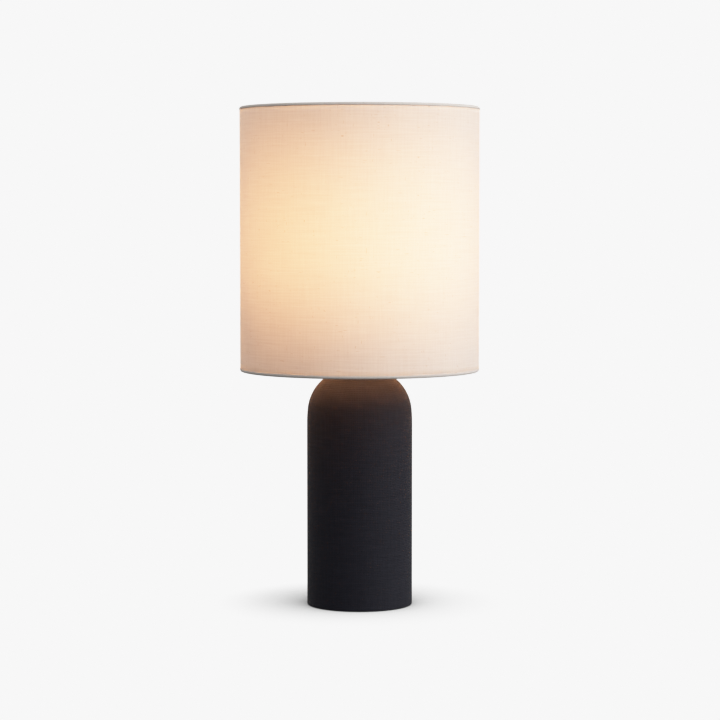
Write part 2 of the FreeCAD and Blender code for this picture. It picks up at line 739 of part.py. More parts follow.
BULB_TOP_Z = BULB_Z + BULB_LENGTH
BULB_CENTRE_Z = BULB_TOP_Z - BULB_R
BULB_SHELL_Z = BULB_Z + BULB_SHELL_RISE
BULB_SHELL_TOP_Z = BULB_SHELL_Z + BULB_SHELL_HEIGHT
BULB_SPLIT_Z = BULB_Z + BULB_SPLIT


def bulb_thread_z():
    return BULB_SHELL_Z + BULB_THREAD_RISE


def holder_thread_z():
    """Half a pitch out of step with the bulb's bead, so that each bead lies in the other's groove."""
    return bulb_thread_z() - SCREW_PITCH * 1.5


def bulb_outline():
    """Centres of the globe and of the flare that joins it to the neck, in (r, z)."""
    flare_r = BULB_NECK_R + BULB_FLARE_R
    drop = math.sqrt((BULB_R + BULB_FLARE_R) ** 2 - flare_r**2)
    globe = (0.0, BULB_CENTRE_Z)
    flare = (flare_r, BULB_CENTRE_Z - drop)
    return globe, flare, math.atan2(drop, flare_r)


def flare_radius_at(z, inset):
    _, flare, _ = bulb_outline()
    return flare[0] - math.sqrt((BULB_FLARE_R + inset) ** 2 - (z - flare[1]) ** 2)


def flare_arc(low, high, inset):
    """Arc of the flare's surface between two heights, moved inwards by inset."""
    _, flare, _ = bulb_outline()
    radius = BULB_FLARE_R + inset
    start = math.pi - math.asin((low - flare[1]) / radius)
    end = math.pi - math.asin((high - flare[1]) / radius)
    return section_arc(flare, radius, start, end)


def bulb_housing():
    _, flare, _ = bulb_outline()
    low, neck_top, top = BULB_SHELL_TOP_Z - BULB_PLUG, flare[1], BULB_SPLIT_Z
    plug_r = BULB_SCREW_R - SCREW_SHEET - SNUG
    inner_r = plug_r - BULB_WALL
    wall_r = BULB_NECK_R - BULB_WALL - 0.4
    top_inner_r = flare_radius_at(top, BULB_WALL)
    outer = [
        (inner_r, low),
        (plug_r, low),
        (plug_r, BULB_SHELL_TOP_Z),
        (BULB_NECK_R, BULB_SHELL_TOP_Z),
        (BULB_NECK_R, neck_top),
    ]
    edges = [section_line(a, b) for a, b in zip(outer, outer[1:])]
    edges.append(flare_arc(neck_top, top, 0.0))
    inner = [
        (flare_radius_at(top, 0.0), top),
        (top_inner_r, top),
        (top_inner_r, top - 1.5),
        (wall_r, neck_top + 4.0),
        (wall_r, BULB_SHELL_TOP_Z + 1.6),
        (inner_r, BULB_SHELL_TOP_Z + 0.4),
        (inner_r, low),
    ]
    edges += [section_line(a, b) for a, b in zip(inner, inner[1:])]
    return turned_edges(Part.__sortEdges__(edges))


def bulb_diffuser():
    """Opal dome: the upper flare and the globe, as a thin shell."""
    globe, _, lean = bulb_outline()
    low = BULB_SPLIT_Z
    joint = -lean
    edges = []
    for inset in (0.0, BULB_WALL):
        globe_r = BULB_R - inset
        joint_z = globe[1] + globe_r * math.sin(joint)
        edges.append(flare_arc(low, joint_z, inset))
        edges.append(section_arc(globe, globe_r, joint, math.pi / 2))
    edges.append(section_line((flare_radius_at(low, 0.0), low), (flare_radius_at(low, BULB_WALL), low)))
    edges.append(section_line((0, BULB_TOP_Z), (0, BULB_TOP_Z - BULB_WALL)))
    return turned_edges(Part.__sortEdges__(edges))


def bulb_screw_cap():
    """Nickel-plated cap with the rolled E27 thread outside."""
    inner_r = BULB_SCREW_R - SCREW_SHEET
    collar_r = BULB_NECK_R - BULB_CRIMP
    shell = turned(
        [
            (BULB_SHELL_HOLE_R, BULB_SHELL_Z),
            (BULB_SCREW_R, BULB_SHELL_Z, BULB_SHELL_ROUND),
            (BULB_SCREW_R, BULB_SHELL_TOP_Z - BULB_COLLAR),
            (collar_r, BULB_SHELL_TOP_Z - SCREW_SHEET),
            (collar_r, BULB_SHELL_TOP_Z),
            (inner_r, BULB_SHELL_TOP_Z),
            (inner_r, BULB_SHELL_Z + SCREW_SHEET),
            (BULB_SHELL_HOLE_R, BULB_SHELL_Z + SCREW_SHEET),
        ]
    )
    bead = helical_bead(BULB_SCREW_R, BULB_BEAD_R, bulb_thread_z(), BULB_TURNS)
    inside = ring(0, inner_r, BULB_SHELL_Z + SCREW_SHEET, BULB_SHELL_TOP_Z + PAST)
    return shell.fuse(bead).cut(inside)


def bulb_insulator():
    """Black glass between the cap and the tip."""
    low = BULB_Z + BULB_TIP_THICK
    top = BULB_SHELL_Z + INSULATOR_BOSS_HEIGHT
    return turned(
        [
            (0, low),
            (INSULATOR_LOW_R, low),
            (INSULATOR_R, BULB_SHELL_Z - SCREW_SHEET, BULB_SHELL_ROUND / 2),
            (INSULATOR_R, BULB_SHELL_Z),
            (INSULATOR_BOSS_R, BULB_SHELL_Z),
            (INSULATOR_BOSS_R, top),
            (0, top),
        ]
    )


def bulb_tip():
    top = BULB_Z + BULB_TIP_THICK
    return turned([(0, BULB_Z), (BULB_TIP_R, BULB_Z, BULB_TIP_ROUND), (BULB_TIP_R, top), (0, top)])


def bulb_led_board():
    """Aluminium board that closes the housing and carries the LEDs."""
    radius = flare_radius_at(BULB_SPLIT_Z, BULB_WALL) - SLACK
    return ring(LED_BOARD_HOLE_R, radius, BULB_SPLIT_Z - LED_BOARD_THICK, BULB_SPLIT_Z)


def bulb_leds():
    half = LED_SIZE / 2
    low, high = (LED_AT_R - half, -half, BULB_SPLIT_Z), (LED_AT_R + half, half, BULB_SPLIT_Z + LED_THICK)
    return together(around_z(box(low, high), LED_COUNT))


def bulb_driver_board():
    half_width, half_thick = DRIVER_BOARD_WIDTH / 2, DRIVER_BOARD_THICK / 2
    low_z, high_z = BULB_SHELL_Z + 3.0, BULB_SPLIT_Z - 3.5
    return box((-half_width, -half_thick, low_z), (half_width, half_thick, high_z))


def bulb_driver_parts():
    """The driver's tall parts, on both faces of its board."""
    capacitor = Part.makeCylinder(3.2, 10.0, V(3.5, 4.1, BULB_SHELL_TOP_Z + 4.0))
    choke = Part.makeCylinder(3.0, 7.0, V(-4.0, 3.9, BULB_SHELL_TOP_Z + 5.0))
    chip = box((-3.0, -2.4, BULB_SHELL_TOP_Z + 6.0), (3.0, -0.85, BULB_SHELL_TOP_Z + 11.0))
    return together([capacitor, choke, chip])


# ---- shade -----------------------------------------------------------------------------------------


def shade_sheet(outer_r, thick):
    return ring(outer_r - thick, outer_r, SHADE_LOW_Z + ARCH_R + SNUG, SHADE_TOP_Z - ARCH_R - SNUG)


def shade_liner():
    return shade_sheet(LINER_R, LINER_THICK)


def shade_fabric():
    return shade_sheet(FABRIC_R, FABRIC_THICK)


def wire_ring(z):
    return Part.makeTorus(WIRE_RING_R, RING_WIRE_R, V(0, 0, z))


def rim_trim(edge_z, inwards):
    """Rolled edge that wraps over a wire ring. inwards is +1 at the top rim, -1 at the bottom."""
    centre_z = edge_z - inwards * ARCH_R
    leg_z = edge_z - inwards * TRIM_LEG
    inner_leg_z = edge_z - inwards * TRIM_INNER_LEG
    inner_arch = ARCH_R - TRIM_THICK
    turn = inwards * math.pi
    outer_out, outer_in = ARCH_CENTRE_R + ARCH_R, ARCH_CENTRE_R - ARCH_R
    inner_out, inner_in = ARCH_CENTRE_R + inner_arch, ARCH_CENTRE_R - inner_arch
    centre = (ARCH_CENTRE_R, centre_z)
    edges = [
        section_arc(centre, ARCH_R, 0.0, turn),
        section_arc(centre, inner_arch, 0.0, turn),
        section_line((outer_out, centre_z), (outer_out, leg_z)),
        section_line((outer_out, leg_z), (inner_out, leg_z)),
        section_line((inner_out, leg_z), (inner_out, centre_z)),
        section_line((outer_in, centre_z), (outer_in, inner_leg_z)),
        section_line((outer_in, inner_leg_z), (inner_in, inner_leg_z)),
        section_line((inner_in, inner_leg_z), (inner_in, centre_z)),
    ]
    return turned_edges(Part.__sortEdges__(edges))


def gimbal_ring():
    return turned(
        [
            (GIMBAL_HOLE_R, GIMBAL_Z),
            (GIMBAL_R, GIMBAL_Z, GIMBAL_EDGE_ROUND),
            (GIMBAL_R, GIMBAL_Z + GIMBAL_THICK, GIMBAL_EDGE_ROUND),
            (GIMBAL_HOLE_R, GIMBAL_Z + GIMBAL_THICK),
        ]
    )


def spoke_wires():
    """Three bent wires from inside the bottom ring up to just under the centre ring."""
    low_z = SHADE_LOW_Z + ARCH_R
    high_z = GIMBAL_Z - SPOKE_WIRE_R + SPOKE_WELD
    inner_x = SKIRT_FLANGE_R + PAST
    route = [
        V(WIRE_RING_R - RING_WIRE_R + SPOKE_WELD, 0, low_z),
        V(WIRE_RING_R - SPOKE_LEVEL_RUN, 0, low_z),
        V(inner_x + SPOKE_LEVEL_RUN, 0, high_z),
        V(inner_x, 0, high_z),
    ]
    path = bent_path(route, SPOKE_BEND_R)
    section = Part.Wire([Part.makeCircle(SPOKE_WIRE_R, route[0], X_AXIS)])
    return around_z(path.makePipeShell([section], True, False), SPOKE_COUNT, 90.0)


def gimbal_spokes():
    """The wires, their ends shaped to the bottom ring and the centre ring that they are welded to."""
    welded = []
    for wire in spoke_wires():
        shaped = wire.cut(gimbal_ring()).cut(wire_ring(SHADE_LOW_Z + ARCH_R))
        welded.append(max(shaped.Solids, key=lambda solid: solid.Volume))
    return together(welded)


def bottom_trim():
    """Rolled edge round the bottom ring, snipped where the spokes pass through."""
    trim = rim_trim(SHADE_LOW_Z, -1)
    for wire in spoke_wires():
        trim = trim.cut(wire)
    return trim


def bent_path(route, radius):
    """Straight runs joined by tangent arcs of one radius."""
    edges = []
    start = route[0]
    for before, corner, after in zip(route, route[1:], route[2:]):
        back = (before - corner).normalize()
        ahead = (after - corner).normalize()
        half_angle = back.getAngle(ahead) / 2
        reach = radius / math.tan(half_angle)
        entry, leave = corner + back * reach, corner + ahead * reach
        bisector = (back + ahead).normalize()
        middle = corner + bisector * (radius / math.sin(half_angle) - radius)
        edges.append(Part.LineSegment(start, entry).toShape())
        edges.append(Part.Arc(entry, middle, leave).toShape())
        start = leave
    edges.append(Part.LineSegment(start, route[-1]).toShape())
    return Part.Wire(edges)


def clamp_ring():
    """Screw ring that holds the shade's centre ring down on the flange."""
    inner_r = SKIRT_THREAD_R + CLAMP_RING_GAP
    top = CLAMP_RING_Z + CLAMP_RING_HEIGHT
    body = turned(
        [
            (inner_r, CLAMP_RING_Z),
            (CLAMP_RING_R, CLAMP_RING_Z, CLAMP_RING_ROUND),
            (CLAMP_RING_R, CLAMP_RING_Z + CLAMP_RING_WALL, CLAMP_RING_ROUND),
            (CLAMP_RING_R - CLAMP_RING_SLOPE, top, CLAMP_RING_ROUND),
            (inner_r, top, HOLDER_SEAM_ROUND),
        ]
    )
    grip_place = V(CLAMP_RING_R + CLAMP_RING_GAP, 0, CLAMP_RING_Z - PAST)
    grip = Part.makeCylinder(CLAMP_RING_GRIP_R, CLAMP_RING_HEIGHT + 2 * PAST, grip_place)
    for cutter in around_z(grip, CLAMP_RING_GRIPS):
        body = body.cut(cutter)
    return body


# ---- writing the files --------------------------------------------------------------------------


PARTS = {
    "stoneware_base": stoneware_base,
    "bottom_cover": bottom_cover,
    "felt_pad": felt_pad,
    "cord_outlet_grommet": cord_outlet_grommet,
    "threaded_tube": threaded_tube,
    "ceiling_washer": ceiling_washer,
    "tooth_washer": tooth_washer,
    "tube_nut": tube_nut,
    "fibre_washer": fibre_washer,
    "base_cap": base_cap,
    "neck": neck,
    "holder_cap": holder_cap,
    "entry_set_screw": entry_set_screw,
    "contact_insert": contact_insert,
    "shell_rivets": shell_rivets,
    "screw_shell": screw_shell,
    "centre_contact": centre_contact,
    "terminals": terminals,
    "terminal_screws": terminal_screws,
    "holder_skirt": holder_skirt,
    "clamp_ring": clamp_ring,
    "switch_bar": switch_bar,
    "switch_bridge": switch_bridge,
    "switch_leaves": switch_leaves,
    "bulb_tip": bulb_tip,
    "bulb_insulator": bulb_insulator,
    "bulb_screw_cap": bulb_screw_cap,
    "bulb_housing": bulb_housing,
    "bulb_diffuser": bulb_diffuser,
    "bulb_led_board": bulb_led_board,
    "bulb_leds": bulb_leds,
    "bulb_driver_board": bulb_driver_board,
    "bulb_driver_parts": bulb_driver_parts,
    "shade_liner": shade_liner,
    "shade_fabric": shade_fabric,
    "shade_top_ring": lambda: wire_ring(SHADE_TOP_Z - ARCH_R),
    "shade_bottom_ring": lambda: wire_ring(SHADE_LOW_Z + ARCH_R),
    "shade_top_trim": lambda: rim_trim(SHADE_TOP_Z, 1),
    "shade_bottom_trim": bottom_trim,
    "gimbal_ring": gimbal_ring,
    "gimbal_spokes": gimbal_spokes,
}


def main():
    os.makedirs("parts", exist_ok=True)
    for name, make in PARTS.items():
        shape = make()
        solids = shape.Solids
        sound = shape.isValid() and all(s.isClosed() and s.Volume > 0 for s in solids)
        size = shape.BoundBox
        print(
            f"{name:22s} {len(solids):2d} solid(s) {'ok ' if sound else 'BAD'}"
            f" {sum(s.Volume for s in solids) / 1000:9.3f} cm3"
            f"  x {size.XMin:7.1f} {size.XMax:7.1f}  y {size.YMin:7.1f} {size.YMax:7.1f}"
            f"  z {size.ZMin:7.1f} {size.ZMax:7.1f}"
        )
        together(solids).exportStep(os.path.join("parts", name + ".step"))


main()
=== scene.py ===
"""Looks of the table lamp: linen drum shade, woven-imprint stoneware base, lampholder and lit bulb.

Everything is in metres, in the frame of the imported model: +Z up, the lamp's axis on x = y = 0, and
the cord outlet at the back, +Y. Sizes come from the model's nodes.
"""

import json
import math

import bmesh
import bpy
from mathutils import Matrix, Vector, noise

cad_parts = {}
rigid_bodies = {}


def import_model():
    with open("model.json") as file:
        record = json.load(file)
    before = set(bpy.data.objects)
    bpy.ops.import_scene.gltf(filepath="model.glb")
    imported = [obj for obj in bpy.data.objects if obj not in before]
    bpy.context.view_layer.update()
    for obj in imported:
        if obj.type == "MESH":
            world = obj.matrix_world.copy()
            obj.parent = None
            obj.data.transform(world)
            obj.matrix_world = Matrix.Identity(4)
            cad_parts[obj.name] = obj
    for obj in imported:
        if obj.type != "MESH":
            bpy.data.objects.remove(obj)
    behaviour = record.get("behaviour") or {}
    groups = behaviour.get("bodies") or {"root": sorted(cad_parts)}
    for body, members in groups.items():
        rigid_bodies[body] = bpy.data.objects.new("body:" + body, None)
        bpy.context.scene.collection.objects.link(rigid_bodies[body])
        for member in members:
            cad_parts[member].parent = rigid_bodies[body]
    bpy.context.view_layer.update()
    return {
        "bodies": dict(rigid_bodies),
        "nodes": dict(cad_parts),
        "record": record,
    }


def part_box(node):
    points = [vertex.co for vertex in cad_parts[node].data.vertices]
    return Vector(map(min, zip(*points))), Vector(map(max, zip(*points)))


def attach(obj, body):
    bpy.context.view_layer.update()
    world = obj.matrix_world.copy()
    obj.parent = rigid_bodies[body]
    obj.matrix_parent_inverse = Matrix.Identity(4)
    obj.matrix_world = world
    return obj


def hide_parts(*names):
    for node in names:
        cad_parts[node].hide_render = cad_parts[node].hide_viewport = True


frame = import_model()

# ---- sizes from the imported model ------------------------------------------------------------

CLOTH_LOW, CLOTH_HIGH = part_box("shade_fabric")
FELT_LOW, FELT_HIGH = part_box("felt_pad")
BULB_LOW, BULB_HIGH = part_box("bulb_diffuser")
SHADE_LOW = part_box("shade_bottom_trim")[0]
SHADE_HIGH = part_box("shade_top_trim")[1]

CLOTH_R = CLOTH_HIGH.x
SHADE_R = SHADE_HIGH.x
SHADE_Z0, SHADE_Z1 = SHADE_LOW.z, SHADE_HIGH.z
BASE_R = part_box("stoneware_base")[1].x

# ---- studio ---------------------------------------------------------------------------------

CAMERA_PLACE = (0.0004, -2.484, 0.4175)
CAMERA_PITCH = math.radians(3.7)
CAMERA_LENS = 118.96

BACKDROP = 1.42
SHOULDER_START = 0.212
SHOULDER_ROOM = 0.788
CURVE_END = 4.0
CURVE_STOPS = (0.08, 0.16, 0.24, 0.32, 0.42, 0.55, 0.7, 0.9, 1.1, 1.35, 1.6, 1.9, 2.3, 3.0)

AMBIENT_FRONT = 0.95
AMBIENT_BACK = 1.55
AMBIENT_FRONT_Y = -0.2
AMBIENT_BACK_Y = 1.0
KEY_AZIMUTH = math.radians(68.0)
KEY_RISE = math.radians(8.0)
KEY_STRENGTH = 5.15
KEY_SOFTNESS = math.radians(70.0)

FLOOR_SIZE = 14.0
FLOOR_BOUNCE = 0.14
# Painted contact shadow on the floor: reach of its ambient occlusion, depth on the left and right, width
# of that change, leaned normal and samples.
PAINTED_SHADOW_REACH = 0.10
PAINTED_SHADOW_DEPTH_LEFT = 2.8
PAINTED_SHADOW_DEPTH_RIGHT = 1.35
PAINTED_SHADOW_SPAN = 0.10
PAINTED_SHADOW_LEAN = (0.0, -0.31, 0.951)
PAINTED_SHADOW_SAMPLES = 8

LAMP_COLOUR = (1.0, 0.438, 0.177)
LAMP_POWER = 8.7
LAMP_DROP = 0.005
LAMP_SOFT_SHARE = 0.8
GLOBE_GLOW = 6.0
LED_GLOW = 8.0


def link(made):
    """Put a new object into the scene."""
    bpy.context.scene.collection.objects.link(made)
    return made


def make_camera():
    """Long lens at the height of the shade, tipped slightly down."""
    data = bpy.data.cameras.new("camera")
    data.lens = CAMERA_LENS
    camera = link(bpy.data.objects.new("camera", data))
    camera.location = CAMERA_PLACE
    camera.rotation_euler = (math.pi / 2 - CAMERA_PITCH, 0.0, 0.0)
    bpy.context.scene.camera = camera


def set_tone():
    """Straight display transform with a soft shoulder, so that the lit linen keeps its colour."""
    view = bpy.context.scene.view_settings
    view.view_transform = "Standard"
    view.look = "None"
    view.use_curve_mapping = True
    mapping = view.curve_mapping
    mapping.use_clip = False
    mapping.clip_max_x = CURVE_END
    mapping.extend = "HORIZONTAL"
    for channel in mapping.curves[:3]:
        channel.points[-1].location = (CURVE_END, CURVE_END)
    curve = mapping.curves[3]
    curve.points[0].location = (0.0, 0.0)
    curve.points[-1].location = (CURVE_END, shoulder(CURVE_END))
    for stop in CURVE_STOPS:
        curve.points.new(stop, shoulder(stop))
    mapping.update()


def shoulder(light):
    """Displayed brightness: straight up to the shoulder's start, then easing towards white."""
    if light <= SHOULDER_START:
        return light
    return SHOULDER_START + SHOULDER_ROOM * math.tanh((light - SHOULDER_START) / SHOULDER_ROOM)


# ---- node graphs ----------------------------------------------------------------------------


class Graph:
    """One material's node tree, with short calls for the nodes that the materials share."""

    def __init__(self, name):
        self.material = bpy.data.materials.new(name)
        self.material.use_nodes = True
        self.tree = self.material.node_tree
        self.tree.nodes.clear()
        self.output = self.tree.nodes.new("ShaderNodeOutputMaterial")

    def add(self, kind, inputs=None, **settings):
        """New shader node with its settings and its inputs, which go by name or index."""
        node = self.tree.nodes.new("ShaderNode" + kind)
        for key, value in settings.items():
            setattr(node, key, value)
        for key, value in (inputs or {}).items():
            self.feed(node.inputs[key], value)
        return node

    def feed(self, socket, value):
        """Link another node's output to an input, or set the input's own value."""
        if isinstance(value, bpy.types.NodeSocket):
            self.tree.links.new(value, socket)
        elif socket.type == "RGBA" and not isinstance(value, float):
            socket.default_value = (*value, 1.0)
        else:
            socket.default_value = value

    def math(self, operation, a, b=0.0, c=0.0):
        node = self.add("Math", {0: a, 1: b, 2: c}, operation=operation)
        return node.outputs[0]

    def position(self):
        return self.add("TexCoord").outputs["Object"]

    def parts(self, vector):
        split = self.add("SeparateXYZ", {0: vector})
        return split.outputs[0], split.outputs[1], split.outputs[2]

    def vector(self, x, y, z):
        return self.add("CombineXYZ", {0: x, 1: y, 2: z}).outputs[0]

    def scaled(self, vector, scale):
        node = self.add("VectorMath", {0: vector, 1: scale}, operation="MULTIPLY")
        return node.outputs[0]

    def noise(self, vector, scale, detail=2.0, roughness=0.5):
        inputs = {"Vector": vector, "Scale": scale, "Detail": detail, "Roughness": roughness}
        return self.add("TexNoise", inputs).outputs["Fac"]

    def span(self, value, low, high, to_low=0.0, to_high=1.0, smooth=False):
        """Map low..high to to_low..to_high, held at both ends."""
        inputs = {0: value, 1: low, 2: high, 3: to_low, 4: to_high}
        kind = "SMOOTHSTEP" if smooth else "LINEAR"
        return self.add("MapRange", inputs, interpolation_type=kind, clamp=True).outputs[0]

    def blend(self, factor, a, b):
        """Colour a where the factor is 0, and b where it is 1."""
        node = self.add("Mix", data_type="RGBA")
        self.feed(node.inputs[0], factor)
        self.feed(node.inputs[6], a)
        self.feed(node.inputs[7], b)
        return node.outputs[2]

    def toned(self, tone, dark, light):
        """Colour from dark to light over the middle of a noise's range."""
        return self.blend(self.span(tone, 0.3, 0.7), dark, light)

    def bump(self, height, distance, strength=1.0, normal=None):
        inputs = {"Height": height, "Distance": distance, "Strength": strength}
        if normal is not None:
            inputs["Normal"] = normal
        return self.add("Bump", inputs).outputs[0]

    def wall(self, radius):
        """Unrolled wall: distance round the axis, and height."""
        x, y, z = self.parts(self.position())
        angle = self.math("ARCTAN2", y, x)
        return self.math("MULTIPLY", angle, radius), z

    def principled(self, inputs):
        return self.add("BsdfPrincipled", inputs).outputs[0]

    def mixed(self, factor, a, b):
        """Shader a where the factor is 0, and b where it is 1."""
        return self.add("MixShader", {0: factor, 1: a, 2: b}).outputs[0]

    def one_layer(self, shader):
        """A thin shell's faces count once each way: from inside the shell they are clear."""
        inside = self.add("NewGeometry").outputs["Backfacing"]
        clear = self.add("BsdfTransparent").outputs[0]
        return self.mixed(inside, shader, clear)

    def finish(self, shader):
        self.tree.links.new(shader, self.output.inputs["Surface"])
        return self.material


# ---- helpers that make meshes ---------------------------------------------------------------


def on_ring(radius, angle, z):
    """Point at a distance from the axis and an angle from +X."""
    return radius * math.cos(angle), radius * math.sin(angle), z


def mesh_object(name, mesh, smooth=True):
    data = bpy.data.meshes.new(name)
    mesh.to_mesh(data)
    mesh.free()
    for polygon in data.polygons:
        polygon.use_smooth = smooth
    return link(bpy.data.objects.new(name, data))


def swept_ring(profile, around, shape):
    """Closed section swept round the axis. shape(angle, r, z) gives each point's final (r, z)."""
    mesh = bmesh.new()
    rings = []
    for step in range(around):
        angle = 2.0 * math.pi * step / around
        ring = []
        for r, z in profile:
            radius, height = shape(angle, r, z)
            ring.append(mesh.verts.new(on_ring(radius, angle, height)))
        rings.append(ring)
    count = len(profile)
    for step in range(around):
        here, there = rings[step], rings[(step + 1) % around]
        for i in range(count):
            j = (i + 1) % count
            mesh.faces.new((here[i], there[i], there[j], here[j]))
    bmesh.ops.recalc_face_normals(mesh, faces=mesh.faces)
    return mesh


def revolved(profile, around):
    """Closed solid of revolution from a profile that starts and ends on the axis."""
    mesh = bmesh.new()
    first = mesh.verts.new((0.0, 0.0, profile[0][1]))
    last = mesh.verts.new((0.0, 0.0, profile[-1][1]))
    rings = []
    for r, z in profile[1:-1]:
        angles = [2.0 * math.pi * step / around for step in range(around)]
        rings.append([mesh.verts.new(on_ring(r, angle, z)) for angle in angles])
    for step in range(around):
        following = (step + 1) % around
        mesh.faces.new((first, rings[0][following], rings[0][step]))
        mesh.faces.new((last, rings[-1][step], rings[-1][following]))
        for low, high in zip(rings, rings[1:]):
            mesh.faces.new((low[step], low[following], high[following], high[step]))
    bmesh.ops.recalc_face_normals(mesh, faces=mesh.faces)
    return mesh


# ---- weaves ---------------------------------------------------------------------------------

THREAD_WANDER = 0.6


def threads(graph, along, across, pitch, wander_length):
    """Height of one set of parallel threads that wander a little sideways, from 0 to 1."""
    place = graph.vector(graph.math("DIVIDE", along, wander_length), 0.0, 0.0)
    wander = graph.noise(place, 1.0, 1.0)
    shifted = graph.math("MULTIPLY_ADD", wander, pitch * THREAD_WANDER, across)
    phase = graph.math("MULTIPLY", shifted, 2.0 * math.pi / pitch)
    return graph.math("MULTIPLY_ADD", graph.math("COSINE", phase), 0.5, 0.5)


def streaks(graph, along, across, length, width):
    """Uneven yarn: noise stretched along one thread direction."""
    vector = graph.vector(graph.math("DIVIDE", along, length), graph.math("DIVIDE", across, width), 0.0)
    return graph.noise(vector, 1.0, 3.0, 0.6)


def crossed(graph, weft, warp, weft_share):
    """Weighted sum of what the weft and the warp say."""
    weft_part = graph.math("MULTIPLY", weft, weft_share)
    warp_part = graph.math("MULTIPLY", warp, 1.0 - weft_share)
    return graph.math("ADD", weft_part, warp_part)


# ---- shade ----------------------------------------------------------------------------------

CLOTH_THICK = 0.0004
CLOTH_AROUND = 360
CLOTH_ROWS = 44
CLOTH_UNEVEN = 0.00008
CLOTH_LUMPS_ROUND = 3.0
CLOTH_LUMPS_UP = 14.0
SEAM_HALF = 0.005
SEAM_EDGE = 0.0004
SEAM_ANGLE = math.pi / 2

ROLL_R = 0.00225
ROLL_LEG = 0.0032
ROLL_AROUND = 480
ARCH_STEPS = 10
ROLL_LUMPS_ROUND = 9.0
CUT_EDGE_DEPTH = 0.0025
CUT_EDGE_UNEVEN = 0.00025
PUCKER_START = 0.0015
PUCKER_DEPTH = 0.00012
PUCKERS = 150.0
PUCKER_DRIFT = 3.0

WARP_PITCH = 0.00068
WEFT_PITCH = 0.00074
WANDER_LENGTH = 0.03
WEFT_STREAK = {"length": 0.045, "width": 0.0016}
WARP_STREAK = {"length": 0.035, "width": 0.0018}
WEFT_SLUB = {"length": 0.0060, "width": 0.0011, "threshold": 0.795}
WARP_SLUB = {"length": 0.0050, "width": 0.0012, "threshold": 0.805}
SLUB_EDGE = 0.05
SLUB_LAYER = 7.3
SLUB_SHOWS = 0.35
SLUB_BLOCKS = 0.4
RIM_SLUB_SHOWS = 0.5
WEAVE_DEPTH = 0.00012
YARN_DEPTH = 0.00025

LAP_DENSITY = 0.6
CLOTH_PASSES = 0.45
FORWARD_SHARE = 0.88
FORWARD_SPREAD = 6.0
LINER_PASSES = 0.5
LINER_CLEAR = 0.7
LINER_TINT = (0.288, 0.288, 0.285)


def slubs(graph, along, across, length, width, threshold):
    """Sparse short thick places in the yarn, from 0 to 1."""
    along = graph.math("DIVIDE", along, length)
    across = graph.math("DIVIDE", across, width)
    cloud = graph.noise(graph.vector(along, across, SLUB_LAYER), 1.0, 0.0)
    return graph.span(cloud, threshold, threshold + SLUB_EDGE, smooth=True)


def linen_pattern(graph):
    """Weave of the shade's linen: (height, yarn tone, slub mask), from the unrolled wall."""
    around, up = graph.wall(CLOTH_R)
    warp = threads(graph, up, around, WARP_PITCH, WANDER_LENGTH)
    weft = threads(graph, around, up, WEFT_PITCH, WANDER_LENGTH)
    height = graph.math("MAXIMUM", warp, weft)
    weft_tone = streaks(graph, around, up, **WEFT_STREAK)
    warp_tone = streaks(graph, up, around, **WARP_STREAK)
    weft_slub = slubs(graph, around, up, **WEFT_SLUB)
    warp_slub = slubs(graph, up, around, **WARP_SLUB)
    tone = crossed(graph, weft_tone, warp_tone, 0.6)
    return height, tone, graph.math("MAXIMUM", weft_slub, warp_slub)


def linen():
    """Off-white linen that passes light: thin yarn glows brighter, slubs and the lap darker and warmer."""
    graph = Graph("linen")
    height, tone, slub = linen_pattern(graph)
    x, y, _ = graph.parts(graph.position())
    behind = graph.math("GREATER_THAN", y, 0.0)
    lap = graph.span(graph.math("ABSOLUTE", x), SEAM_HALF, SEAM_HALF + SEAM_EDGE, 1.0, 0.0)
    double = graph.math("MULTIPLY", lap, behind)
    cloth = graph.toned(tone, (0.66, 0.64, 0.61), (0.76, 0.75, 0.72))
    cloth = graph.blend(graph.math("MULTIPLY", slub, SLUB_SHOWS), cloth, (0.42, 0.33, 0.22))
    passed = graph.toned(tone, (0.82, 0.81, 0.79), (0.95, 0.95, 0.94))
    passed = graph.blend(graph.math("MULTIPLY", slub, SLUB_BLOCKS), passed, (0.50, 0.38, 0.24))
    passed = graph.blend(graph.math("MULTIPLY", double, LAP_DENSITY), passed, (0.62, 0.47, 0.33))
    weave = graph.bump(height, WEAVE_DEPTH, 0.6)
    weave = graph.bump(tone, YARN_DEPTH, 0.5, weave)
    front = graph.principled(
        {
            "Base Color": cloth,
            "Roughness": 0.85,
            "Specular IOR Level": 0.25,
            "Sheen Weight": 0.15,
            "Sheen Roughness": 0.5,
            "Normal": weave,
        }
    )
    scattered = graph.add("BsdfTranslucent", {"Color": passed, "Normal": weave}).outputs[0]
    forward = {"Color": passed, "Roughness": 1.0, "IOR": FORWARD_SPREAD}
    between = graph.add("BsdfRefraction", forward).outputs[0]
    through = graph.mixed(FORWARD_SHARE, scattered, between)
    return graph.finish(graph.one_layer(graph.mixed(CLOTH_PASSES, front, through)))


def liner_plastic():
    """Translucent white styrene behind the linen, with faint rolling marks."""
    graph = Graph("liner_plastic")
    around, up = graph.wall(CLOTH_R)
    mark = streaks(graph, up, around, length=0.2, width=0.006)
    front = graph.principled(
        {
            "Base Color": (0.94, 0.93, 0.91),
            "Roughness": graph.span(mark, 0.3, 0.7, 0.42, 0.55),
            "Normal": graph.bump(mark, 0.0002, 0.4),
        }
    )
    scattered = graph.add("BsdfTranslucent", {"Color": LINER_TINT}).outputs[0]
    clear = graph.add("BsdfTransparent", {"Color": LINER_TINT}).outputs[0]
    through = graph.mixed(LINER_CLEAR, scattered, clear)
    return graph.finish(graph.one_layer(graph.mixed(LINER_PASSES, front, through)))


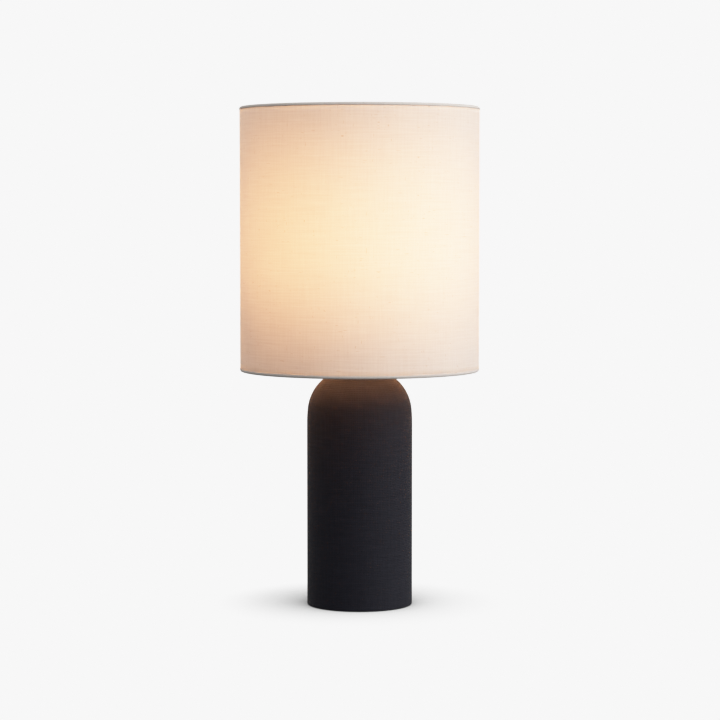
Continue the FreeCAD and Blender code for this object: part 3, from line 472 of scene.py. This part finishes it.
def rim_linen():
    """The same linen where it is rolled over the wire rings, opaque against them."""
    graph = Graph("rim_linen")
    height, tone, slub = linen_pattern(graph)
    colour = graph.toned(tone, (0.50, 0.46, 0.425), (0.60, 0.55, 0.515))
    colour = graph.blend(graph.math("MULTIPLY", slub, RIM_SLUB_SHOWS), colour, (0.30, 0.24, 0.17))
    normal = graph.bump(height, WEAVE_DEPTH, 0.8)
    inputs = {"Base Color": colour, "Roughness": 0.9, "Specular IOR Level": 0.2, "Normal": normal}
    return graph.finish(graph.principled(inputs))


def cloth_rise(angle, z):
    """How far the linen's outside stands off its nominal radius: a little unevenness, and the lap."""
    rise = CLOTH_UNEVEN * noise.noise(Vector(on_ring(CLOTH_LUMPS_ROUND, angle, z * CLOTH_LUMPS_UP)))
    off = abs(angle - SEAM_ANGLE)
    off = min(off, 2.0 * math.pi - off)
    if off < SEAM_HALF / CLOTH_R:
        rise += CLOTH_THICK
    return rise


def cloth_mesh():
    """Closed shell of linen, a little uneven, with the lap seam standing proud at the back."""
    mesh = bmesh.new()
    layers = []
    for inner in (False, True):
        grid = []
        for row in range(CLOTH_ROWS + 1):
            z = CLOTH_LOW.z + (CLOTH_HIGH.z - CLOTH_LOW.z) * row / CLOTH_ROWS
            ring = []
            for step in range(CLOTH_AROUND):
                angle = SEAM_ANGLE + 2.0 * math.pi * step / CLOTH_AROUND
                radius = CLOTH_R - CLOTH_THICK if inner else CLOTH_R + cloth_rise(angle, z)
                ring.append(mesh.verts.new(on_ring(radius, angle, z)))
            grid.append(ring)
        layers.append(grid)
    outside, inside = layers
    for grid, flip in ((outside, False), (inside, True)):
        for low, high in zip(grid, grid[1:]):
            join_rings(mesh, low, high, flip)
    join_rings(mesh, outside[0], inside[0], flip=True)
    join_rings(mesh, outside[-1], inside[-1], flip=False)
    return mesh


def join_rings(mesh, first, second, flip):
    """Band of four-sided faces between two rings with the same number of points."""
    for i in range(len(first)):
        following = (i + 1) % len(first)
        corners = [first[i], first[following], second[following], second[i]]
        mesh.faces.new(corners[::-1] if flip else corners)


def rim_profile(edge_z, inwards):
    """J section of the rolled linen: outer leg, arch over the wire ring, inner leg."""
    centre_r = SHADE_R - ROLL_R
    centre_z = edge_z - inwards * ROLL_R
    leg_z = edge_z - inwards * ROLL_LEG
    turns = [math.pi * i / ARCH_STEPS for i in range(ARCH_STEPS + 1)]

    def arch(radius, angles):
        return [
            (centre_r + radius * math.cos(turn), centre_z + inwards * radius * math.sin(turn))
            for turn in angles
        ]

    inner_r = ROLL_R - CLOTH_THICK
    outer = [(centre_r + ROLL_R, leg_z), *arch(ROLL_R, turns), (centre_r - ROLL_R, leg_z)]
    inner = [(centre_r - inner_r, leg_z), *arch(inner_r, turns[::-1]), (centre_r + inner_r, leg_z)]
    return outer + inner


def rim_roll(name, material, edge_z, inwards, seed):
    """Rolled rim, its cut edges slightly uneven and its inside puckered where it is turned in.

    inwards is 1 where the shade lies below the edge, and -1 where it lies above.
    """
    middle_r = SHADE_R - ROLL_R

    def shape(angle, r, z):
        unevenness = noise.noise(Vector(on_ring(ROLL_LUMPS_ROUND, angle, seed)))
        depth = abs(edge_z - z)
        if depth > CUT_EDGE_DEPTH:
            z += inwards * CUT_EDGE_UNEVEN * unevenness
        if r < middle_r and depth > PUCKER_START:
            r -= PUCKER_DEPTH * (1.0 + math.sin(angle * PUCKERS + PUCKER_DRIFT * unevenness))
        return r, z

    made = mesh_object(name, swept_ring(rim_profile(edge_z, inwards), ROLL_AROUND, shape))
    made.data.materials.append(material)
    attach(made, "shade")
    return made


# ---- base -------------------------------------------------------------------------------------

IMPRINT_PITCH = 0.0019
IMPRINT_WEFT_PITCH = IMPRINT_PITCH * 0.94
IMPRINT_WANDER_LENGTH = 0.02
IMPRINT_DEPTH = 0.0007
CROSSING_SHARE = 0.35
FELT_EDGE_SHARE = 0.35
FELT_RINGS = 12
FELT_EDGE_STEPS = 6
FELT_AROUND = 180


def stoneware():
    """Matte charcoal stoneware that took the weave of the cloth it was pressed in."""
    graph = Graph("stoneware")
    around, up = graph.wall(BASE_R)
    warp = threads(graph, up, around, IMPRINT_PITCH, IMPRINT_WANDER_LENGTH)
    weft = threads(graph, around, up, IMPRINT_WEFT_PITCH, IMPRINT_WANDER_LENGTH)
    crossing = graph.math("MAXIMUM", warp, weft)
    weft_tone = streaks(graph, around, up, length=0.03, width=0.0022)
    warp_tone = streaks(graph, up, around, length=0.03, width=0.0024)
    bands = streaks(graph, around, up, length=0.25, width=0.006)
    grain = graph.noise(graph.position(), 2600.0, 3.0, 0.6)
    tone = crossed(graph, weft_tone, warp_tone, 0.55)
    soft_part = graph.math("MULTIPLY", tone, 1.0 - CROSSING_SHARE)
    lift = graph.math("MULTIPLY_ADD", crossing, CROSSING_SHARE, soft_part)
    colour = graph.blend(graph.span(lift, 0.25, 0.8), (0.0043, 0.0044, 0.0070), (0.0135, 0.0136, 0.0203))
    rubbed = graph.math("ADD", tone, graph.math("MULTIPLY", grain, 0.4))
    normal = graph.bump(bands, 0.0006, 0.35)
    normal = graph.bump(lift, IMPRINT_DEPTH, 0.9, normal)
    normal = graph.bump(grain, 0.00008, 0.5, normal)
    inputs = {
        "Base Color": colour,
        "Roughness": graph.span(rubbed, 0.4, 1.1, 0.78, 0.62),
        "Specular IOR Level": 0.11,
        "Sheen Weight": 0.04,
        "Sheen Roughness": 0.3,
        "Normal": normal,
    }
    return graph.finish(graph.principled(inputs))


def felt():
    """Pressed felt: matted fibres in every direction."""
    graph = Graph("felt")
    place = graph.position()
    fibres = graph.noise(graph.scaled(place, (1.0, 0.25, 1.0)), 3800.0, 4.0, 0.7)
    clumps = graph.noise(place, 420.0, 3.0, 0.6)
    matted = graph.math("MULTIPLY_ADD", clumps, 0.5, graph.math("MULTIPLY", fibres, 0.5))
    colour = graph.blend(graph.span(matted, 0.35, 0.65), (0.022, 0.022, 0.024), (0.055, 0.055, 0.058))
    inputs = {
        "Base Color": colour,
        "Roughness": 0.95,
        "Specular IOR Level": 0.15,
        "Sheen Weight": 0.35,
        "Sheen Roughness": 0.6,
        "Normal": graph.bump(matted, 0.0004, 0.9),
    }
    return graph.finish(graph.principled(inputs))


def felt_disc():
    """Felt pad with a soft cut edge."""
    low, high, radius = FELT_LOW.z, FELT_HIGH.z, FELT_HIGH.x
    middle, half = (low + high) / 2.0, (high - low) / 2.0
    soft = (high - low) * FELT_EDGE_SHARE
    rings = [radius * step / FELT_RINGS for step in range(1, FELT_RINGS)]
    profile = [(0.0, low)] + [(r, low) for r in rings]
    for step in range(FELT_EDGE_STEPS + 1):
        turn = math.pi * step / FELT_EDGE_STEPS - math.pi / 2.0
        profile.append((radius - soft + soft * math.cos(turn), middle + half * math.sin(turn)))
    profile += [(r, high) for r in rings[::-1]]
    profile.append((0.0, high))
    return revolved(profile, FELT_AROUND)


# ---- metals, plastics and the rest --------------------------------------------------------------

PATCH_DARKENS = 0.72
PATCH_LIGHTENS = 1.18
BRUSHING = (1.0, 1.0, 14.0)


def metal(name, colour, rough, brushed=False):
    """Plain or plated metal, its gloss broken by fine lines, with slightly darker patches."""
    graph = Graph(name)
    place = graph.position()
    stretch = BRUSHING if brushed else (1.0, 1.0, 1.0)
    lines = graph.noise(graph.scaled(place, stretch), 900.0, 3.0, 0.6)
    cloud = graph.noise(place, 60.0, 4.0, 0.6)
    dark = tuple(channel * PATCH_DARKENS for channel in colour)
    inputs = {
        "Base Color": graph.blend(graph.span(cloud, 0.35, 0.7), colour, dark),
        "Metallic": 1.0,
        "Roughness": graph.span(lines, 0.3, 0.7, rough - 0.08, rough + 0.1),
        "Normal": graph.bump(lines, 0.00005, 0.35),
    }
    return graph.finish(graph.principled(inputs))


def moulded(name, colour, rough, grain=0.00003, speckle=1500.0):
    """Moulded plastic, rubber or paint: a fine pebble, and patches a little lighter and duller."""
    graph = Graph(name)
    place = graph.position()
    pebble = graph.noise(place, speckle, 2.0, 0.5)
    cloud = graph.noise(place, 45.0, 4.0, 0.6)
    light = tuple(min(1.0, channel * PATCH_LIGHTENS + 0.003) for channel in colour)
    inputs = {
        "Base Color": graph.blend(graph.span(cloud, 0.35, 0.7), colour, light),
        "Roughness": graph.span(cloud, 0.3, 0.7, rough - 0.05, rough + 0.07),
        "Normal": graph.bump(pebble, grain, 0.5),
    }
    return graph.finish(graph.principled(inputs))


def glowing_globe():
    """Opal diffuser: it glows by itself, and lets the lamp inside it through."""
    graph = Graph("bulb_opal")
    cloud = graph.noise(graph.position(), 30.0, 2.0)
    strength = graph.span(cloud, 0.3, 0.7, GLOBE_GLOW, GLOBE_GLOW * 1.1)
    glow = graph.add("Emission", {"Color": LAMP_COLOUR, "Strength": strength}).outputs[0]
    gloss = graph.principled({"Base Color": (0.9, 0.88, 0.84), "Roughness": 0.25})
    lit = graph.add("AddShader", {0: glow, 1: gloss}).outputs[0]
    clear = graph.add("BsdfTransparent").outputs[0]
    shadow = graph.add("LightPath").outputs["Is Shadow Ray"]
    made = graph.finish(graph.mixed(shadow, lit, clear))
    made.cycles.emission_sampling = "NONE"
    return made


def led():
    """Lit LED: yellow phosphor that glows."""
    graph = Graph("led")
    inputs = {
        "Base Color": (0.95, 0.75, 0.3),
        "Roughness": 0.4,
        "Emission Color": LAMP_COLOUR,
        "Emission Strength": LED_GLOW,
    }
    made = graph.finish(graph.principled(inputs))
    made.cycles.emission_sampling = "NONE"
    return made


def porcelain():
    """Unglazed off-white porcelain with a fine grain."""
    graph = Graph("porcelain")
    grain = graph.noise(graph.position(), 900.0, 4.0, 0.6)
    inputs = {
        "Base Color": graph.toned(grain, (0.80, 0.78, 0.72), (0.88, 0.86, 0.81)),
        "Roughness": graph.span(grain, 0.3, 0.7, 0.45, 0.6),
        "Normal": graph.bump(grain, 0.00006, 0.4),
    }
    return graph.finish(graph.principled(inputs))


def fibre_board():
    """Red-brown vulcanised fibre, its fibres lying flat."""
    graph = Graph("fibre")
    fibres = graph.noise(graph.scaled(graph.position(), (1.0, 1.0, 9.0)), 700.0, 4.0, 0.7)
    inputs = {
        "Base Color": graph.toned(fibres, (0.13, 0.04, 0.025), (0.20, 0.07, 0.04)),
        "Roughness": 0.8,
        "Normal": graph.bump(fibres, 0.0001, 0.6),
    }
    return graph.finish(graph.principled(inputs))


def materials_by_slot():
    """One material for each of the record's slots, apart from the two kinds of linen."""
    return {
        "stoneware": stoneware(),
        "felt": felt(),
        "cover_steel": moulded("cover_steel", (0.05, 0.05, 0.052), 0.5),
        "grommet_rubber": moulded("grommet_rubber", (0.022, 0.022, 0.022), 0.65, 0.00006),
        "zinc_steel": metal("zinc_steel", (0.62, 0.62, 0.60), 0.34, brushed=True),
        "fibre": fibre_board(),
        "black_metal": moulded("black_metal", (0.025, 0.025, 0.027), 0.42, 0.00003, 2400.0),
        "holder_plastic": moulded("holder_plastic", (0.024, 0.023, 0.022), 0.5, 0.00005),
        "bar_plastic": moulded("bar_plastic", (0.02, 0.02, 0.02), 0.25),
        "porcelain": porcelain(),
        "brass": metal("brass", (0.78, 0.56, 0.26), 0.3),
        "cap_nickel": metal("cap_nickel", (0.72, 0.71, 0.69), 0.25),
        "cap_glass": moulded("cap_glass", (0.015, 0.015, 0.018), 0.12),
        "bulb_plastic": moulded("bulb_plastic", (0.82, 0.81, 0.78), 0.42),
        "bulb_opal": glowing_globe(),
        "board_metal": metal("board_metal", (0.86, 0.86, 0.85), 0.5),
        "led": led(),
        "board_laminate": moulded("board_laminate", (0.04, 0.16, 0.07), 0.4),
        "electronics": moulded("electronics", (0.03, 0.03, 0.04), 0.35),
        "liner_plastic": liner_plastic(),
        "white_wire": moulded("white_wire", (0.78, 0.77, 0.74), 0.4, 0.00004, 1800.0),
    }


def dress_cad_nodes(made):
    """Give each CAD node the material of its slot."""
    slots = {part["node"]: part["material_slot"] for part in frame["record"]["subparts"]}
    for name, node in frame["nodes"].items():
        if slots[name] in made:
            node.data.materials.clear()
            node.data.materials.append(made[slots[name]])
        for polygon in node.data.polygons:
            polygon.material_index = 0


# ---- light and floor ------------------------------------------------------------------------


def make_world():
    """Even studio light, dimmer from the front than from behind; the camera sees one flat tone."""
    world = bpy.data.worlds.new("studio")
    world.use_nodes = True
    tree = world.node_tree
    tree.nodes.clear()
    output = tree.nodes.new("ShaderNodeOutputWorld")
    seen = tree.nodes.new("ShaderNodeBackground")
    seen.inputs["Color"].default_value = (BACKDROP, BACKDROP, BACKDROP, 1.0)
    lighting = tree.nodes.new("ShaderNodeBackground")
    place = tree.nodes.new("ShaderNodeTexCoord")
    split = tree.nodes.new("ShaderNodeSeparateXYZ")
    tree.links.new(place.outputs["Generated"], split.inputs[0])
    spread = tree.nodes.new("ShaderNodeMapRange")
    spread.interpolation_type = "SMOOTHSTEP"
    limits = (AMBIENT_FRONT_Y, AMBIENT_BACK_Y, AMBIENT_FRONT, AMBIENT_BACK)
    for index, limit in enumerate(limits, start=1):
        spread.inputs[index].default_value = limit
    tree.links.new(split.outputs["Y"], spread.inputs[0])
    tree.links.new(spread.outputs[0], lighting.inputs["Strength"])
    path = tree.nodes.new("ShaderNodeLightPath")
    mix = tree.nodes.new("ShaderNodeMixShader")
    tree.links.new(path.outputs["Is Camera Ray"], mix.inputs[0])
    tree.links.new(lighting.outputs[0], mix.inputs[1])
    tree.links.new(seen.outputs[0], mix.inputs[2])
    tree.links.new(mix.outputs[0], output.inputs["Surface"])
    bpy.context.scene.world = world


def make_key():
    """Broad, very soft key light from the right and a little in front."""
    data = bpy.data.lights.new("key", "SUN")
    data.energy = KEY_STRENGTH
    data.angle = KEY_SOFTNESS
    key = link(bpy.data.objects.new("key", data))
    across = math.cos(KEY_RISE)
    direction = Vector(
        (math.sin(KEY_AZIMUTH) * across, -math.cos(KEY_AZIMUTH) * across, math.sin(KEY_RISE))
    )
    key.rotation_mode = "QUATERNION"
    key.rotation_quaternion = direction.to_track_quat("Z", "Y")


def make_lamp():
    """The bulb's own light, just below the middle of its globe."""
    radius = (BULB_HIGH.x - BULB_LOW.x) / 2.0
    data = bpy.data.lights.new("lamp", "POINT")
    data.color = LAMP_COLOUR
    data.energy = LAMP_POWER
    data.shadow_soft_size = radius * LAMP_SOFT_SHARE
    lamp = link(bpy.data.objects.new("lamp", data))
    lamp.location = (0.0, 0.0, BULB_HIGH.z - radius - LAMP_DROP)
    lamp.parent = frame["bodies"]["bulb"]


def make_floor():
    """Pale floor as bright as the backdrop, darker only in a painted contact shadow where the lamp stands
    close to it.
    """
    graph = Graph("floor")
    painted_shadow_settings = {"Distance": PAINTED_SHADOW_REACH, "Normal": graph.vector(*PAINTED_SHADOW_LEAN)}
    painted_shadow_occlusion = graph.add("AmbientOcclusion", painted_shadow_settings, samples=PAINTED_SHADOW_SAMPLES)
    x, _, _ = graph.parts(graph.position())
    depth = graph.span(x, -PAINTED_SHADOW_SPAN, PAINTED_SHADOW_SPAN, PAINTED_SHADOW_DEPTH_LEFT, PAINTED_SHADOW_DEPTH_RIGHT)
    # Painted contact shadow: ambient occlusion darkens the floor's own glow, deeper on the left than on
    # the right, in place of a shadow cast by the lights.
    shade = graph.math("POWER", painted_shadow_occlusion.outputs["AO"], depth)
    seen = graph.add("Emission", {"Strength": graph.math("MULTIPLY", shade, BACKDROP)}).outputs[0]
    bounce = graph.add("Emission", {"Strength": FLOOR_BOUNCE}).outputs[0]
    camera = graph.add("LightPath").outputs["Is Camera Ray"]
    made = graph.finish(graph.one_layer(graph.mixed(camera, bounce, seen)))
    made.cycles.emission_sampling = "NONE"
    mesh = bmesh.new()
    bmesh.ops.create_grid(mesh, x_segments=1, y_segments=1, size=FLOOR_SIZE)
    floor = mesh_object("floor", mesh, smooth=False)
    floor.data.materials.append(made)


# ---- the scene ------------------------------------------------------------------------------

make_camera()
set_tone()
make_world()
make_key()
make_lamp()
make_floor()

linen_material = linen()
rim_linen_material = rim_linen()
slot_materials = materials_by_slot()
dress_cad_nodes(slot_materials)

top_roll = rim_roll("shade_top_roll", rim_linen_material, SHADE_Z1, inwards=1.0, seed=2.0)
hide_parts("shade_top_trim")
bottom_roll = rim_roll("shade_bottom_roll", rim_linen_material, SHADE_Z0, inwards=-1.0, seed=5.0)
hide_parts("shade_bottom_trim")

cloth = mesh_object("shade_linen", cloth_mesh())
cloth.data.materials.append(linen_material)
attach(cloth, "shade")
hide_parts("shade_fabric")

pad = mesh_object("felt_disc", felt_disc())
pad.data.materials.append(slot_materials["felt"])
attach(pad, "base")
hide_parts("felt_pad")
